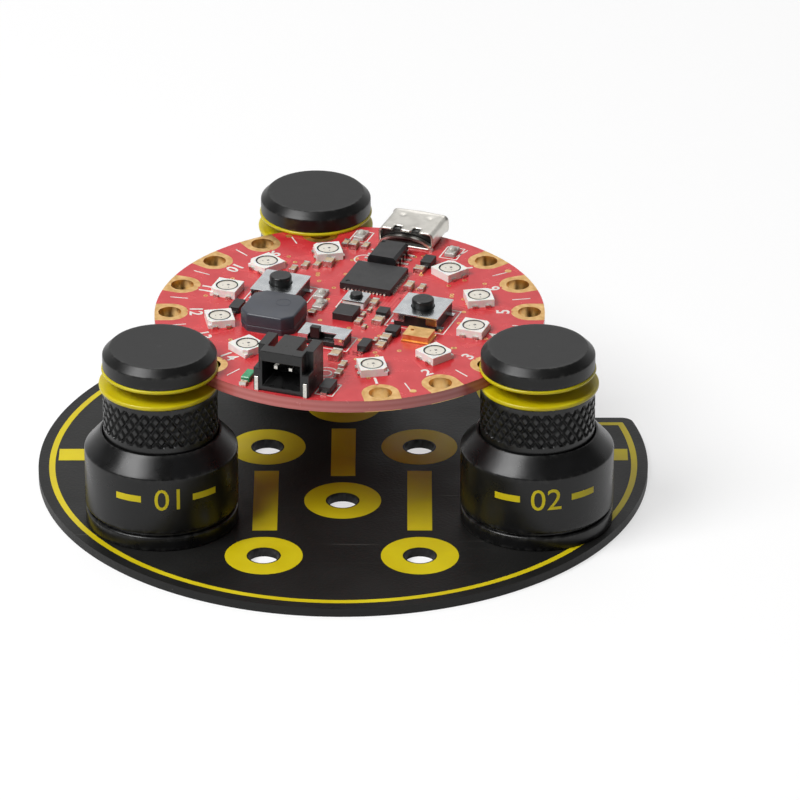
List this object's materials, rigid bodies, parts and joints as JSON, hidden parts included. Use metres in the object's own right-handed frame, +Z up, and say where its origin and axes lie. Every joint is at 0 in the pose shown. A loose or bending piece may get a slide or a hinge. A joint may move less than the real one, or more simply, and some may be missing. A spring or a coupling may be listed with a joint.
{
  "type": "magnetic circuit board holder with circuit board",
  "caption": "Round steel base plate with sliding magnetic holders whose sprung sleeves grip the rim of a round circuit board.",
  "frame": {"origin": "centre of the round base plate, on its underside", "axes": "+Z up out of the plate, -Y towards the front, where the two front holders stand, +X to the right"},
  "size_m": [0.08, 0.0808, 0.0282],
  "materials": {
    "plate_coat": "satin",
    "steel": "satin",
    "magnet_nickel": "gloss",
    "black_anodise": "satin",
    "washer_yellow": "satin",
    "board_red": "gloss",
    "gold_plate": "gloss",
    "tin_plate": "gloss",
    "black_moulding": "matte",
    "grey_moulding": "matte",
    "chip_black": "matte",
    "lamp_case": "satin",
    "lamp_lens": "gloss",
    "lamp_clear": "gloss",
    "ceramic_tan": "satin"
  },
  "bodies": {
    "base": {"base_plate": "plate_coat"},
    "left_holder": {"left_foot": "steel", "left_magnet": "magnet_nickel", "left_housing": "black_anodise", "left_spindle": "black_anodise", "left_spring": "steel", "left_upper_washer": "washer_yellow", "left_cap": "black_anodise"},
    "left_jaw": {"left_sleeve": "black_anodise", "left_lower_washer": "washer_yellow"},
    "right_holder": {"right_foot": "steel", "right_magnet": "magnet_nickel", "right_housing": "black_anodise", "right_spindle": "black_anodise", "right_spring": "steel", "right_upper_washer": "washer_yellow", "right_cap": "black_anodise"},
    "right_jaw": {"right_sleeve": "black_anodise", "right_lower_washer": "washer_yellow"},
    "rear_holder": {"rear_foot": "steel", "rear_magnet": "magnet_nickel", "rear_housing": "black_anodise", "rear_spindle": "black_anodise", "rear_spring": "steel", "rear_upper_washer": "washer_yellow", "rear_cap": "black_anodise"},
    "rear_jaw": {"rear_sleeve": "black_anodise", "rear_lower_washer": "washer_yellow"},
    "board": {"circuit_board": "board_red", "pad_eyelets": "gold_plate", "usb_shell": "tin_plate", "usb_tongue": "black_moulding", "battery_socket": "black_moulding", "battery_pins": "tin_plate", "buzzer": "grey_moulding", "button_a_base": "black_moulding", "button_a_cover": "tin_plate", "button_b_base": "black_moulding", "button_b_cover": "tin_plate", "reset_base": "lamp_case", "reset_cover": "tin_plate", "switch_base": "black_moulding", "switch_cover": "tin_plate", "pixel_cases": "lamp_case", "pixel_lenses": "lamp_lens", "processor": "chip_black", "memory_chip": "chip_black", "motion_sensor": "chip_black", "microphone": "gold_plate", "status_lamps": "lamp_clear", "moulded_parts": "chip_black", "ceramic_bodies": "ceramic_tan", "solder_ends": "tin_plate"},
    "button_a": {"button_a_plunger": "black_moulding"},
    "button_b": {"button_b_plunger": "black_moulding"},
    "reset_button": {"reset_plunger": "black_moulding"},
    "slide_switch": {"switch_lever": "black_moulding"}
  },
  "joints": [
    {"name": "left_holder_slide", "type": "slide", "parent": "base", "child": "left_holder", "axis": [-0.829, -0.5592, 0], "range_m": [0, 0.004]},
    {"name": "left_jaw_slide", "type": "slide", "parent": "left_holder", "child": "left_jaw", "axis": [0, 0, -1], "range_m": [0, 0.003], "stiffness_N_per_m": 760, "springref_m": -0.005, "deforming": ["left_spring"]},
    {"name": "right_holder_slide", "type": "slide", "parent": "base", "child": "right_holder", "axis": [0.829, -0.5592, 0], "range_m": [0, 0.004]},
    {"name": "right_jaw_slide", "type": "slide", "parent": "right_holder", "child": "right_jaw", "axis": [0, 0, -1], "range_m": [0, 0.003], "stiffness_N_per_m": 760, "springref_m": -0.005, "deforming": ["right_spring"]},
    {"name": "rear_holder_slide", "type": "slide", "parent": "base", "child": "rear_holder", "axis": [-0.1564, 0.9877, 0], "range_m": [0, 0.004]},
    {"name": "rear_jaw_slide", "type": "slide", "parent": "rear_holder", "child": "rear_jaw", "axis": [0, 0, -1], "range_m": [0, 0.003], "stiffness_N_per_m": 760, "springref_m": -0.005, "deforming": ["rear_spring"]},
    {"name": "board_turn", "type": "hinge", "parent": "base", "child": "board", "pos_m": [0.0009, 0.0012, 0.0217], "axis": [0, 0, 1], "range_deg": [-4, 4]},
    {"name": "button_a_press", "type": "slide", "parent": "board", "child": "button_a", "axis": [0, 0, -1], "range_m": [0, 0.00025], "stiffness_N_per_m": 400, "springref_m": -0.002},
    {"name": "button_b_press", "type": "slide", "parent": "board", "child": "button_b", "axis": [0, 0, -1], "range_m": [0, 0.00025], "stiffness_N_per_m": 400, "springref_m": -0.002},
    {"name": "reset_button_press", "type": "slide", "parent": "board", "child": "reset_button", "axis": [0, 0, -1], "range_m": [0, 0.00025], "stiffness_N_per_m": 400, "springref_m": -0.002},
    {"name": "slide_switch_slide", "type": "slide", "parent": "board", "child": "slide_switch", "axis": [0.9397, -0.342, 0], "range_m": [0, 0.002]}
  ]
}
